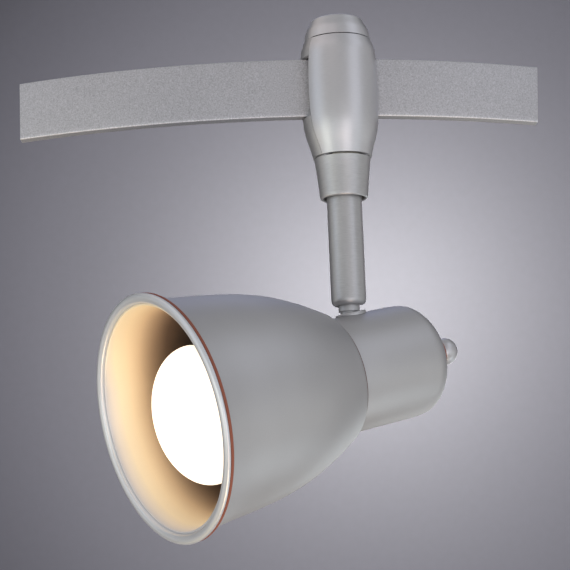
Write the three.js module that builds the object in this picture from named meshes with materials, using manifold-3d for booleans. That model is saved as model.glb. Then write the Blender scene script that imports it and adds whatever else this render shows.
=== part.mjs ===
// Track spotlight: a curved rail section, the adapter clamped round it, a swivelling stem with a ball
// knuckle, and a bell-shaped head with its reflector lamp. Millimetres, +Z up.
// Origin: middle of the rail section's top face. +X along the rail, +Y towards the centre of its curve.
import * as THREE from "three";
import { mergeVertices } from "three/addons/utils/BufferGeometryUtils.js";
import Module from "manifold-3d";

const wasm = await Module();
wasm.setup();

// ---------------------------------------------------------------- driving dimensions
const RAIL_RADIUS = 260; // to the middle of the rail's thickness
const RAIL_HEIGHT = 22.2;
const RAIL_THICK = 5;
const RAIL_LEFT = -100.6; // the cut ends of the section, at half its height
const RAIL_RIGHT = 100.1;
const RAIL_TURN_DEG = 48; // angle of the ring that the section is cut from
const RIGHT_LEAN_DEG = 3.5; // the right-hand cut leans out towards the top
const CHANNEL_HEIGHT = 14; // groove in the rail's back that holds the insulator
const CHANNEL_DEPTH = 3.2;
const CONDUCTOR_PITCH = 7; // between the two conductor strips

const ADAPTER_DEG = 4.9; // place of the adapter along the rail, from the section's middle
const ADAPTER_INSET = 0.75; // adapter axis, behind the middle of the rail's thickness
const CAP_SEAM = 18.4; // heights on the adapter, from the middle of the rail's height
const CAP_TOP = 26.75;
const SHELL_BOTTOM = -27.1;
const COLLAR_BOTTOM = -42.4;
const SPLIT_Y = -5.65; // plane between the front shell and the adapter body
const SPLIT_TURN_DEG = 7.6; // and its turn from the rail's tangent
const WALL = 1.7;
const ROOF = 16.5;
const FLOOR = -24.4;
const TERMINAL_X = 4.2;
const SCREW_HEIGHTS = { upper: 13.6, lower: -13.9 };

const STEM_R = 6.5;
const STEM_BORE = 5.5;
const STEM_TOP = -16.9;
const STEM_BOTTOM = -82.8;
const PIVOT_Z = -78.7; // centre of the ball, on the stem's axis
const BALL_R = 5.2;
const NECK_R = 3.95;
const SLOT_HALF = 4.3;

const PAN_REST_DEG = 26.5; // the head's front, from -X towards -Y
const TILT_REST_DEG = 12.4; // and below the horizontal
const HEAD_DROP = 28.4; // from the ball's centre down to the head's axis
const HEAD_REACH = 88; // from the ball's centre forward to the rim's plane

const RIM_R = 43.3;
const RIM_INNER = 40;
const SHADE_BACK = 70.3; // distances behind the rim's plane, along the head's axis
const SHADE_SHEET = 1.2;
const LINER_SHEET = 0.8;
const LINER_BACK = 62;
const HOUSING_R = 21.2;
const HOUSING_FRONT = 71.3;
const HOUSING_SHEET = 1.4;
const HOUSING_END = 120.3;
const SOCKET_FRONT = 67;
const SOCKET_BACK = 97;
const FINIAL_R = 5.2;
const FINIAL_CENTRE = 125.9;

const LAMP_DROP = 1.9; // the lamp hangs a little below the head's axis
const LAMP_R = 24.4;
const LAMP_FRONT = 2.3;
const LAMP_EDGE = 16; // where the lamp's domed front meets its reflector
const LAMP_NECK = 57;

const GAP = 0.3; // between faces that meet
const FINE = 28; // sides of large turned parts
const SMALL = 16; // sides of small turned parts

const radians = THREE.MathUtils.degToRad;
const wholeCircle = Math.PI * 2;

// ---------------------------------------------------------------- materials: colour, roughness, metalness
const SILVER = [0xb4b5b9, 0.42, 0.75];
const ALUMINIUM = [0xbfc0c3, 0.55, 0.7];
const STEEL = [0xa8a9ad, 0.3, 1];
const BRASS = [0xc9a75a, 0.3, 1];
const COPPER = [0xc07a4e, 0.35, 1];
const WHITE_PLASTIC = [0xe8e6df, 0.5, 0];
const NYLON = [0xd9d4c4, 0.5, 0];
const RED_FIBRE = [0x8a3a28, 0.7, 0];
const REFLECTOR = [0xe9e2d2, 0.35, 0.4];
const GLASS = [0xfff6e2, 0.2, 0];
const BLACK_GLASS = [0x25252a, 0.3, 0];
const BROWN_WIRE = [0x6a4326, 0.6, 0];
const BLUE_WIRE = [0x2f5fa8, 0.6, 0];

// ---------------------------------------------------------------- solids and booleans
function toSolid(geometry) {
  const bare = geometry.index ? geometry.toNonIndexed() : geometry.clone();
  for (const name of Object.keys(bare.attributes)) {
    if (name !== "position") bare.deleteAttribute(name);
  }
  const merged = mergeVertices(bare, 1e-4);
  const vertProperties = merged.attributes.position.array;
  const triVerts = new Uint32Array(merged.index.array);
  return new wasm.Manifold(new wasm.Mesh({ numProp: 3, vertProperties, triVerts }));
}

function toGeometry(solid) {
  const mesh = solid.getMesh();
  const geometry = new THREE.BufferGeometry();
  geometry.setAttribute("position", new THREE.BufferAttribute(new Float32Array(mesh.vertProperties), 3));
  geometry.setIndex(new THREE.BufferAttribute(new Uint32Array(mesh.triVerts), 1));
  geometry.computeVertexNormals();
  return geometry;
}

function cut(geometry, ...tools) {
  return toGeometry(tools.reduce((solid, tool) => solid.subtract(toSolid(tool)), toSolid(geometry)));
}

function join(first, ...others) {
  return toGeometry(others.reduce((solid, other) => solid.add(toSolid(other)), toSolid(first)));
}

function common(first, second) {
  return toGeometry(toSolid(first).intersect(toSolid(second)));
}

// ---------------------------------------------------------------- shapes
// A turned part about +Z from its outline, a list of [radius, height] that runs anticlockwise.
function turned(outline, sides = SMALL) {
  const points = [...outline, outline[0]].map(([r, z]) => new THREE.Vector2(r, z));
  const geometry = new THREE.LatheGeometry(points, sides);
  geometry.rotateX(Math.PI / 2);
  return geometry;
}

function ring(inner, outer, low, high, sides = SMALL) {
  return turned([[inner, low], [outer, low], [outer, high], [inner, high]], sides);
}

function disc(radius, low, high, sides = SMALL) {
  return turned([[0, low], [radius, low], [radius, high], [0, high]], sides);
}

function box(x0, x1, y0, y1, z0, z1) {
  const geometry = new THREE.BoxGeometry(x1 - x0, y1 - y0, z1 - z0);
  geometry.translate((x0 + x1) / 2, (y0 + y1) / 2, (z0 + z1) / 2);
  return geometry;
}

// Turns a geometry's +Z onto a direction, then moves its origin to a point.
function aimed(geometry, direction, from) {
  const up = new THREE.Vector3(0, 0, 1);
  const turn = new THREE.Quaternion().setFromUnitVectors(up, new THREE.Vector3(...direction).normalize());
  geometry.applyQuaternion(turn);
  geometry.translate(...from);
  return geometry;
}

function bar(radius, from, direction, length, sides = 16) {
  return aimed(disc(radius, 0, length, sides), direction, from);
}

// A pan-head screw: the head is on the side that the direction points to.
function screw(shankR, headR, from, direction, shankLength, headLength) {
  const outline = [
    [0, 0], [shankR, 0], [shankR, shankLength], [headR, shankLength],
    [headR, shankLength + headLength * 0.6],
    [headR * 0.7, shankLength + headLength], [0, shankLength + headLength],
  ];
  return aimed(turned(outline, 10), direction, from);
}

function hexNut(bore, acrossR, low, high) {
  return cut(disc(acrossR, low, high, 6), disc(bore, low - 1, high + 1, 16));
}

function wire(radius, points, steps) {
  const path = new THREE.CatmullRomCurve3(points.map((point) => new THREE.Vector3(...point)));
  const section = new THREE.Shape();
  section.absarc(0, 0, radius, 0, wholeCircle);
  return new THREE.ExtrudeGeometry(section, { steps, curveSegments: 3, extrudePath: path });
}

function smooth(points, count) {
  const curve = new THREE.SplineCurve(points.map(([a, b]) => new THREE.Vector2(a, b)));
  return curve.getPoints(count).map((point) => [point.x, point.y]);
}

// An elliptical arc in an outline: centre on the axis side, from one angle to another in degrees.
function arc(centreR, centreZ, radiusR, radiusZ, startDeg, endDeg, count) {
  return Array.from({ length: count + 1 }, (_, i) => {
    const angle = radians(startDeg + ((endDeg - startDeg) * i) / count);
    return [centreR + radiusR * Math.cos(angle), centreZ + radiusZ * Math.sin(angle)];
  });
}

// The radius of an outline at a height, on its straight stretch between two points.
function radiusAt(line, height) {
  const next = line.findIndex(([, z]) => z >= height);
  const [r0, z0] = line[next - 1];
  const [r1, z1] = line[next];
  return r0 + ((r1 - r0) * (height - z0)) / (z1 - z0);
}

const narrowed = (line, sheet) => line.map(([r, z]) => [r - sheet, z]);

function place(group, name, geometry, [color, roughness, metalness]) {
  const material = new THREE.MeshStandardMaterial({ color, roughness, metalness });
  const mesh = new THREE.Mesh(geometry, material);
  mesh.name = name;
  group.add(mesh);
}

// ---------------------------------------------------------------- rail section
// A band of the rail's ring, between two radii and two heights, centred on +X = 0.
function railBand(inner, outer, low, high, spanDeg, steps = 22) {
  const half = radians(spanDeg) / 2;
  const along = (radius, i) => {
    const angle = -half + (2 * half * i) / steps;
    return new THREE.Vector2(radius * Math.sin(angle), RAIL_RADIUS - radius * Math.cos(angle));
  };
  const indices = Array.from({ length: steps + 1 }, (_, i) => i);
  const outline = [...indices.map((i) => along(outer, i)), ...indices.reverse().map((i) => along(inner, i))];
  const settings = { depth: high - low, bevelEnabled: false };
  const geometry = new THREE.ExtrudeGeometry(new THREE.Shape(outline), settings);
  geometry.translate(0, 0, low);
  return geometry;
}

// Everything between the section's two cut ends, which run straight back across the rail.
function railEnds() {
  const span = box(RAIL_LEFT, RAIL_RIGHT + 10, -5, 45, -40, 40);
  const offcut = box(0, 30, -10, 50, -60, 60);
  offcut.rotateY(radians(RIGHT_LEAN_DEG));
  offcut.translate(RAIL_RIGHT, 0, 0);
  const ends = cut(span, offcut);
  ends.translate(0, 0, -RAIL_HEIGHT / 2);
  return ends;
}

function makeRail() {
  const group = new THREE.Group();
  const middle = -RAIL_HEIGHT / 2;
  const front = RAIL_RADIUS + RAIL_THICK / 2;
  const back = RAIL_RADIUS - RAIL_THICK / 2;
  const band = (inner, outer, halfHeight, z) => (
    railBand(inner, outer, z - halfHeight, z + halfHeight, RAIL_TURN_DEG)
  );
  const span = railEnds();

  const channel = band(back - 1, back + CHANNEL_DEPTH, CHANNEL_HEIGHT / 2, middle);
  const body = common(band(back, front, RAIL_HEIGHT / 2, middle), span);
  place(group, "rail_band", cut(body, channel), ALUMINIUM);

  const liner = common(band(back + 0.1, back + CHANNEL_DEPTH - GAP, CHANNEL_HEIGHT / 2 - GAP, middle), span);
  const heights = { upper: middle + CONDUCTOR_PITCH / 2, lower: middle - CONDUCTOR_PITCH / 2 };
  const grooves = Object.values(heights).map((z) => band(back - 1, back + 2, 1.6, z));
  place(group, "rail_insulator", cut(liner, ...grooves), WHITE_PLASTIC);
  for (const [name, z] of Object.entries(heights)) {
    place(group, `rail_conductor_${name}`, common(band(back + 0.9, back + 1.7, 1.2, z), span), COPPER);
  }
  return group;
}

// ---------------------------------------------------------------- adapter
const barrelLine = smooth(
  [
    [10.85, SHELL_BOTTOM], [11.8, -23.1], [13.2, -18.4], [14.1, -13.5], [14.6, -4], [14.3, 9.75],
    [13.9, 14.6], [12.7, CAP_SEAM],
  ],
  9,
);
const collarLine = [
  ...arc(8.1, COLLAR_BOTTOM + 0.9, 0.8, 0.9, -90, 0, 3), [9.2, -39.1], [9.65, -34.5], [10.15, -30.2],
  [10.6, SHELL_BOTTOM - 0.4],
];

// The inside of the barrel, one sheet in from its outer line.
function barrelInside(sheet, low, high) {
  const line = narrowed(barrelLine, sheet).filter(([, z]) => z > low && z < high);
  const lowest = line[0][0] - 0.2;
  const highest = line[line.length - 1][0] - 0.2;
  return turned([[0, low], [lowest, low], ...line, [highest, high], [0, high]], FINE);
}

// Everything in front of the plane that splits the barrel.
function splitBox(y, low, high) {
  const region = box(-25, 25, y - 20, y, low, high);
  region.rotateZ(radians(SPLIT_TURN_DEG));
  return region;
}

function makeAdapterBody() {
  const outside = turned([[0, COLLAR_BOTTOM], ...collarLine, ...barrelLine, [0, CAP_SEAM]], FINE);
  const collarBore = join(disc(8.1, -39.2, FLOOR + 2, FINE), disc(7.9, COLLAR_BOTTOM - 1, -39, FINE));
  const frontRegion = splitBox(SPLIT_Y, SHELL_BOTTOM, 40);
  const slot = railBand(
    RAIL_RADIUS - RAIL_THICK / 2 - 0.7, RAIL_RADIUS + 12, -RAIL_HEIGHT - 0.9, 0.9, 14, 8,
  );
  slot.translate(0, -ADAPTER_INSET, RAIL_HEIGHT / 2);
  const hollowed = cut(outside, barrelInside(WALL, FLOOR, ROOF), collarBore, frontRegion, slot);
  const heights = Object.values(SCREW_HEIGHTS);
  const bosses = heights.map((z) => bar(3.3, [0, 9.4, z], [0, 1, 0], 3.2));
  const bores = heights.map((z) => bar(1.5, [0, 5, z], [0, 1, 0], 20));
  const pockets = heights.map((z) => bar(2.8, [0, 11.6, z], [0, 1, 0], 6));
  const studBore = disc(2.8, ROOF - 1, CAP_SEAM + 1);
  return cut(join(hollowed, ...bosses), ...bores, ...pockets, studBore);
}

function makeFrontShell() {
  const low = SHELL_BOTTOM + 0.45;
  const high = CAP_SEAM - GAP;
  const outside = turned([[0, SHELL_BOTTOM], ...barrelLine, [0, CAP_SEAM]], FINE);
  const region = splitBox(SPLIT_Y - 0.15, low, high);
  const front = common(outside, region);
  const hollowed = cut(front, barrelInside(1.5, SHELL_BOTTOM - 2, ROOF + 0.5));
  const heights = Object.values(SCREW_HEIGHTS);
  const bosses = heights.map((z) => bar(2.5, [0, -12.6, z], [0, 1, 0], 10));
  const bores = heights.map((z) => bar(1.5, [0, -10.4, z], [0, 1, 0], 12));
  return common(cut(join(hollowed, ...bosses), ...bores), region);
}

// The block inside the front shell that presses on the rail's front face.
function makeClampPad() {
  const rear = RAIL_RADIUS + RAIL_THICK / 2 + GAP;
  const pad = railBand(rear, rear + 3.2, -9.5, 9.5, 4.4, 4);
  pad.translate(0, -ADAPTER_INSET, 0);
  return pad;
}

function makeContacts(group) {
  const carrierFront = 3;
  const carrierBack = 9;
  const block = box(-6, 6, carrierFront, carrierBack, -9.2, 9.2);
  const pockets = [];
  const terminalBores = [];
  for (const [name, side] of [["upper", 1], ["lower", -1]]) {
    const z = (side * CONDUCTOR_PITCH) / 2;
    const x = side * TERMINAL_X;
    pockets.push(box(-4.1, 4.1, carrierFront - 1, 6.1, z - 1.9, z + 1.9));
    terminalBores.push(bar(1.4, [x, 6.5, z], [0, 1, 0], 4));
    const finger = box(-3.4, 3.4, 1.25, 4.5, z - 0.9, z + 0.9);
    const foot = box(-3.8, 3.8, 4.2, 5.8, z - 1.6, z + 1.6);
    place(group, `contact_${name}`, join(finger, foot), BRASS);
    place(group, `terminal_screw_${name}`, screw(1, 1.9, [x, 6.9, z], [0, 1, 0], 2.4, 1.1), STEEL);
  }
  place(group, "contact_carrier", cut(block, ...pockets, ...terminalBores), WHITE_PLASTIC);
}

function makeAdapter() {
  const group = new THREE.Group();
  place(group, "adapter_body", makeAdapterBody(), SILVER);
  place(group, "front_shell", makeFrontShell(), SILVER);
  place(group, "clamp_pad", makeClampPad(), NYLON);
  makeContacts(group);
  for (const [name, z] of Object.entries(SCREW_HEIGHTS)) {
    place(group, `shell_screw_${name}`, screw(1.2, 2.4, [0, -9.8, z], [0, 1, 0], 21.7, 1.2), STEEL);
  }
  const bush = turned(
    [[6.8, -38.9], [7.8, -38.9], [7.8, FLOOR + GAP], [9.2, FLOOR + GAP], [9.2, -23.2], [6.8, -23.2]], FINE,
  );
  place(group, "stem_bush", bush, NYLON);
  place(group, "stem_keeper_ring", ring(6.9, 9.3, -20.6, -18.9, FINE), STEEL);
  place(group, "pan_stop_pin", bar(0.5, [-8.95, 0, -22.1], [-1, 0, 0], 1, 10), STEEL);
  const stud = join(disc(2.4, 15.4, 24.2, 16), disc(3.4, 15.2, 16.2, 6));
  place(group, "cap_stud", stud, STEEL);
  for (const [name, side, look] of [["live", 1, BROWN_WIRE], ["neutral", -1, BLUE_WIRE]]) {
    const x = side * TERMINAL_X;
    const start = (side * CONDUCTOR_PITCH) / 2 - 2.7;
    const route = [
      [x, 10, start], [x, 10, -9], [x, 8.4, -11.6], [x, 4.5, -13.6],
      [side * 3.6, 2, -14.6], [side * 3.4, 1.4, -16.4],
    ];
    place(group, `feed_wire_${name}`, wire(0.6, route, 14), look);
  }
  place(group, "cap_washer", ring(2.8, 6, CAP_SEAM + GAP, CAP_SEAM + 1.2), STEEL);
  place(group, "top_cap", makeTopCap(), SILVER);
  return group;
}

function makeTopCap() {
  const bottom = CAP_SEAM + GAP;
  const bossBottom = CAP_SEAM + 1.6;
  const ceiling = CAP_TOP - 1.4;
  const side = smooth([[12.5, bottom], [11.8, 22.2], [10.4, 25.2]], 5);
  const edge = arc(8.7, CAP_TOP - 1.2, 1.3, 1.2, 15, 90, 4);
  return turned(
    [
      [10.8, bottom], ...side, ...edge, [0, CAP_TOP], [0, ceiling], [2.8, ceiling], [2.8, bossBottom],
      [5.4, bossBottom], [5.4, ceiling], [8.3, ceiling],
    ],
    FINE,
  );
}

// ---------------------------------------------------------------- stem
function makeStem() {
  const group = new THREE.Group();
  const shoulderLow = -22.9;
  const shoulderHigh = -20.9;
  const lipTop = -81.1;
  const tube = turned(
    [
      [4.8, STEM_BOTTOM], ...arc(4.8, STEM_BOTTOM + 2.5, 1.7, 2.5, -80, 0, 6), [STEM_R, shoulderLow],
      [8.7, shoulderLow], [8.7, shoulderHigh], [STEM_R, shoulderHigh], [STEM_R, STEM_TOP],
      [STEM_BORE, STEM_TOP], [STEM_BORE, lipTop + 0.8], [4.8, lipTop],
    ],
    FINE,
  );
  const slotTop = PIVOT_Z - 1.9;
  const slot = join(
    box(1, 9, -SLOT_HALF, SLOT_HALF, STEM_BOTTOM - 1, slotTop),
    bar(SLOT_HALF, [1, 0, slotTop], [1, 0, 0], 8, SMALL),
  );
  const lug = box(8.2, 9.4, -0.8, 0.8, shoulderLow + 0.2, shoulderHigh - 0.2);
  place(group, "stem_tube", join(cut(tube, slot), lug), SILVER);

  const seat = turned(
    [[2.6, -73.6], [5.2, -73.6], [5.2, -71], [2.6, -71]], SMALL,
  );
  const ballRoom = new THREE.SphereGeometry(BALL_R + GAP, SMALL, 14);
  ballRoom.translate(0, 0, PIVOT_Z);
  place(group, "ball_seat", cut(seat, ballRoom), NYLON);
  place(group, "clamp_sleeve", ring(2.6, 5.2, -70.6, -61.6, SMALL), STEEL);
  for (const [name, side, look] of [["live", 1, BROWN_WIRE], ["neutral", -1, BLUE_WIRE]]) {
    const route = [
      [side * 2.6, 0, -17.6], [side * 2.6, 0, -50], [side * 1.3, 0, -60], [side * 0.95, 0, -72.4],
    ];
    place(group, `stem_wire_${name}`, wire(0.6, route, 6), look);
  }
  return group;
}

// ---------------------------------------------------------------- knuckle, in the head's frame
// The neck stands upright at rest, so it leans in the head's frame by the rest tilt.
function leaned(geometry) {
  geometry.rotateY(radians(TILT_REST_DEG));
  return geometry;
}

function makeKnuckle(group) {
  const bore = 1.95;
  const topDeg = 68;
  const neckDeg = -THREE.MathUtils.radToDeg(Math.acos(NECK_R / BALL_R));
  const shoulder = -6.2;
  const shankEnd = -15;
  const ballArc = arc(0, 0, BALL_R, BALL_R, neckDeg, topDeg, 8);
  const stud = turned([
    [bore, shankEnd], [3.2, shankEnd], [3.2, shoulder], [NECK_R, shoulder], ...ballArc,
    [bore, BALL_R * Math.sin(radians(topDeg))],
  ]);
  place(group, "ball_stud", leaned(stud), SILVER);
  const saddleTop = -6;
  const saddle = disc(5.7, saddleTop - 3.4, saddleTop);
  saddle.translate(-0.9, 0, 0);
  const housingRoom = bar(HOUSING_R + 0.25, [-20, 0, -HEAD_DROP], [1, 0, 0], 40, 96);
  place(group, "saddle_washer", cut(saddle, leaned(disc(4.3, -14, 0)), housingRoom), SILVER);
  place(group, "stud_wedge_washer", leaned(ring(3.6, 5.4, -11.8, -10.7)), STEEL);
  place(group, "stud_nut", leaned(hexNut(3.6, 5.6, -14.6, -12.1)), BRASS);
}

// ---------------------------------------------------------------- head, turned parts about +Z, front at 0
const shadeLine = smooth(
  [
    [41.4, 1.9], [39.9, 10.8], [38.45, 25], [36.7, 37.5], [33.85, 48.8], [29.6, 59.7],
    [25.1, SHADE_BACK - 1.2],
  ],
  9,
);

function makeShade() {
  const inner = narrowed(shadeLine, SHADE_SHEET).reverse();
  return turned(
    [
      ...shadeLine, [24.4, SHADE_BACK - 0.3], [23.9, SHADE_BACK], [15.2, SHADE_BACK],
      [15.2, SHADE_BACK - SHADE_SHEET], [inner[0][0], SHADE_BACK - SHADE_SHEET - 0.4], ...inner.slice(1),
    ],
    FINE,
  );
}

function makeLiner() {
  const outerLine = narrowed(shadeLine, SHADE_SHEET + 0.6).filter(([, s]) => s < LINER_BACK - 0.5);
  const innerLine = narrowed(outerLine, LINER_SHEET).reverse();
  const backR = radiusAt(shadeLine, LINER_BACK) - SHADE_SHEET - 0.8;
  return turned(
    [
      [RIM_INNER - 0.5, 0.6], ...outerLine, [backR, LINER_BACK], [14, LINER_BACK],
      [14, LINER_BACK - LINER_SHEET], [backR - 1, LINER_BACK - LINER_SHEET], ...innerLine,
      [RIM_INNER - 0.5 - LINER_SHEET, 0.6],
    ],
    FINE,
  );
}

function makeHousing() {
  const dome = smooth(
    [[HOUSING_R, 103], [20.6, 108.3], [18.4, 111.7], [14.4, 114.9], [9.3, 118.1], [4.6, HOUSING_END]], 7,
  );
  const inward = 1 - HOUSING_SHEET / HOUSING_R;
  const domeInside = dome.map(([r, s]) => [r * inward, s - HOUSING_SHEET]).reverse();
  const shell = turned(
    [
      [HOUSING_R - HOUSING_SHEET, HOUSING_FRONT], [HOUSING_R - 0.4, HOUSING_FRONT],
      [HOUSING_R, HOUSING_FRONT + 0.4], ...dome, [2.3, HOUSING_END], [2.3, HOUSING_END - HOUSING_SHEET],
      ...domeInside,
    ],
    FINE,
  );
  return shell;
}

function makeSocket(group) {
  const boreR = 8.4;
  const boreEnd = 89.4;
  const outside = turned(
    [
      [boreR, SOCKET_FRONT], [12.6, SOCKET_FRONT], [13, SOCKET_FRONT + 0.5], [13, 71.1], [16.5, 71.1],
      [16.5, 73.4], [13, 73.4], [13, SOCKET_BACK - 0.6], [12.4, SOCKET_BACK], [0, SOCKET_BACK],
      [0, boreEnd], [boreR, boreEnd],
    ],
    FINE,
  );
  const bracketBores = [-7, 7].map((y) => bar(1.4, [0, y, SOCKET_BACK - 4], [0, 0, 1], 6));
  const terminalBores = [-5, 5].map((y) => bar(1.3, [-8.4, y, SOCKET_BACK - 3], [0, 0, 1], 6));
  place(group, "socket_body", cut(outside, ...bracketBores, ...terminalBores), WHITE_PLASTIC);
  place(group, "socket_shell", ring(7.35, 7.95, 68.2, 86.5, 36), BRASS);
  place(group, "socket_contact", join(disc(2.6, 88, 89, 16), box(-5, 5, -1.2, 1.2, 88.3, 89)), BRASS);
  place(group, "shade_ring", ring(13.3, 17.6, 65.6, 68.7, FINE), WHITE_PLASTIC);
  for (const [name, y] of [["left", -5], ["right", 5]]) {
    const terminal = screw(1, 1.8, [-8.4, y, SOCKET_BACK - 2.6], [0, 0, 1], 2.9, 1);
    place(group, `socket_terminal_${name}`, terminal, BRASS);
  }
  for (const [name, y] of [["left", -7], ["right", 7]]) {
    const fixing = screw(1.1, 2.1, [0, y, SOCKET_BACK - 3.6], [0, 0, 1], 6.7, 1.3);
    place(group, `bracket_screw_${name}`, fixing, STEEL);
  }
}

function makeLamp(group) {
  const neckR = 7.4;
  const face = arc(0, LAMP_EDGE, LAMP_R, LAMP_EDGE - LAMP_FRONT, -90, 0, 6);
  const cone = smooth([[LAMP_R, LAMP_EDGE], [22.6, 24], [15.2, 38.5], [9.2, 49.5], [neckR, LAMP_NECK]], 6);
  const outer = [...face, ...cone.slice(1)];
  const inner = outer.map(([r, s]) => [Math.max(r * 0.955, 0), LAMP_EDGE + (s - LAMP_EDGE) * 0.955]);
  inner[inner.length - 1] = [neckR - 0.7, LAMP_NECK];
  place(group, "bulb_glass", turned([...outer, ...inner.reverse()], 24), GLASS);
  const cap = turned([
    [6.2, LAMP_NECK + GAP], [7.6, LAMP_NECK + GAP], [7.6, 59.6], [6.9, 60.4], [6.9, 82],
    [5.2, 83.6], [4.4, 83.6], [6.2, 81.6],
  ]);
  place(group, "bulb_cap", cap, BRASS);
  place(group, "bulb_insulator", turned([[0, 83.9], [4.8, 83.9], [2.9, 86], [0, 86]]), BLACK_GLASS);
  place(group, "bulb_tip", turned([[0, 86.3], [2.3, 86.3], [1.7, 87.4], [0, 87.6]]), STEEL);
}

function makeFinial(group) {
  const base = 121.7;
  const ballStart = THREE.MathUtils.radToDeg(Math.asin((base + 0.6 - FINIAL_CENTRE) / FINIAL_R));
  const finial = turned([
    [2.3, base], [3.6, base], [3.6, base + 0.7],
    ...arc(0, FINIAL_CENTRE, FINIAL_R, FINIAL_R, ballStart + 8, 90, 7),
    [0, 127.3], [2.3, 127.3],
  ]);
  place(group, "finial", finial, SILVER);
  place(group, "finial_washer", ring(2.3, 6.8, HOUSING_END + GAP, HOUSING_END + 1.1), RED_FIBRE);
}

function makeFittings(group) {
  const bead = arc((RIM_INNER + RIM_R) / 2, 0, (RIM_R - RIM_INNER) / 2, 1.2, 180, 360, 5);
  const skirtOuter = RIM_INNER + 0.05;
  const skirtInner = RIM_INNER - 0.25;
  const skirt = [[skirtOuter, 0.3], [skirtOuter, 1.8], [skirtInner, 1.8], [skirtInner, 0]];
  place(group, "rim_ring", turned([...bead, [RIM_R, 0.3], ...skirt], FINE), SILVER);
  place(group, "rim_gasket", ring(40.2, RIM_R - 0.1, 0.5, 1.6, FINE), RED_FIBRE);
  place(group, "shade", makeShade(), SILVER);
  place(group, "reflector_liner", makeLiner(), REFLECTOR);
  place(group, "seam_gasket", ring(18.2, 23, SHADE_BACK + 0.25, SHADE_BACK + 0.7, FINE), RED_FIBRE);
  const strap = box(-4, 8, -9.6, 9.6, 98.7, 99.9);
  const strapHoles = [
    bar(2.3, [0, 0, 98], [0, 0, 1], 3),
    ...[-7, 7].map((y) => bar(1.5, [LAMP_DROP, y, 98], [0, 0, 1], 3)),
  ];
  place(group, "socket_bracket", cut(strap, ...strapHoles), STEEL);
  const bolt = join(disc(3.2, 97.4, 98.4), disc(1.9, 97.6, 126.6, 16));
  place(group, "head_bolt", bolt, STEEL);
  place(group, "bolt_nut", hexNut(2.3, 4, 100.2, 102.6), STEEL);
}

function makeHeadWires(group) {
  for (const [name, side, look] of [["live", 1, BROWN_WIRE], ["neutral", -1, BLUE_WIRE]]) {
    const route = [
      [0.7, side * 0.95, 3.2], [-2.2, side * 0.95, -10], [-3.2, side * 0.95, -14.4],
      [-2.3, side * 1.8, -15.9],
      [2, side * 3.2, -15.9], [9, side * 4.9, -16.2], [12.2, side * 5, -17.6], [12.1, side * 5, -20.4],
    ];
    place(group, `head_wire_${name}`, wire(0.6, route, 16), look);
  }
}

function makeHead() {
  const head = new THREE.Group();
  makeKnuckle(head);
  makeHeadWires(head);
  const studBore = leaned(bar(3.7, [0, 0, -13], [0, 0, 1], 10, SMALL));

  // The axis of the turned parts runs from the rim backwards; +X of this group points down.
  const axial = new THREE.Group();
  axial.position.set(-HEAD_REACH, 0, -HEAD_DROP);
  axial.rotation.y = Math.PI / 2;
  head.add(axial);
  const toAxial = new THREE.Matrix4().compose(axial.position, axial.quaternion, axial.scale).invert();
  place(axial, "housing", cut(makeHousing(), studBore.applyMatrix4(toAxial)), SILVER);
  makeFittings(axial);
  makeFinial(axial);

  const lampGroup = new THREE.Group();
  lampGroup.position.x = LAMP_DROP;
  axial.add(lampGroup);
  makeSocket(lampGroup);
  makeLamp(lampGroup);
  return head;
}

// ---------------------------------------------------------------- assembly
function makeSpotlight() {
  const spotlight = new THREE.Group();
  spotlight.add(makeRail());

  const adapter = makeAdapter();
  const turn = radians(ADAPTER_DEG);
  const reach = RAIL_RADIUS - ADAPTER_INSET;
  adapter.position.set(reach * Math.sin(turn), RAIL_RADIUS - reach * Math.cos(turn), -RAIL_HEIGHT / 2);
  adapter.rotation.z = turn;
  spotlight.add(adapter);

  const stem = makeStem();
  stem.rotation.z = radians(PAN_REST_DEG);
  adapter.add(stem);

  const head = makeHead();
  head.position.z = PIVOT_Z;
  head.rotation.y = -radians(TILT_REST_DEG);
  stem.add(head);
  return spotlight;
}

export default makeSpotlight();
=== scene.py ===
import math

import bmesh
import bpy
from mathutils import Matrix, Vector


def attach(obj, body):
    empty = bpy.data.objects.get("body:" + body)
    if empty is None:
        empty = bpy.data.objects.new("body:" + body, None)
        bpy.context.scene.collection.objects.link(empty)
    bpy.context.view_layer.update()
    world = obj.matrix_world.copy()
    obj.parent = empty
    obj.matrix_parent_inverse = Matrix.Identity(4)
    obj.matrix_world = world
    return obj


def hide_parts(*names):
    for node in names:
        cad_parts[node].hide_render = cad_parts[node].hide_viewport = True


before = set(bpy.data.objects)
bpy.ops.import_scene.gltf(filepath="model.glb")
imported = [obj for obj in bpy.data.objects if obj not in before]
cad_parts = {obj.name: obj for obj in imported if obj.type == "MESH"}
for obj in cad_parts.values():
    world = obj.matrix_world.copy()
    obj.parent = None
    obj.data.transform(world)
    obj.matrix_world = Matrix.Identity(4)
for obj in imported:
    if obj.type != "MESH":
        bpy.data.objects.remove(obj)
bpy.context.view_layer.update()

MM = 0.001

# ---------------------------------------------------------------- frames, in millimetres
RAIL_RADIUS = 260.0
RAIL_HEIGHT = 22.2
RAIL_MIDDLE = -RAIL_HEIGHT / 2
RAIL_HALF = 2.5
RAIL_LEFT = -100.6
RAIL_RIGHT = 100.1
RIGHT_LEAN = math.tan(math.radians(3.5))
ADAPTER_TURN = math.radians(4.9)
SET_BACK = 0.75
ADAPTER_REACH = RAIL_RADIUS - SET_BACK
PAN_REST = math.radians(26.5)
TILT_REST = math.radians(12.4)
PIVOT_Z = -78.7
HEAD_REACH = 88.0
HEAD_DROP = 28.4
LAMP_DROP = 1.9

ROW = Matrix.Identity(4)
ADAPTER = Matrix.Translation((
    ADAPTER_REACH * math.sin(ADAPTER_TURN),
    RAIL_RADIUS - ADAPTER_REACH * math.cos(ADAPTER_TURN),
    RAIL_MIDDLE,
)) @ Matrix.Rotation(ADAPTER_TURN, 4, "Z")
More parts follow.
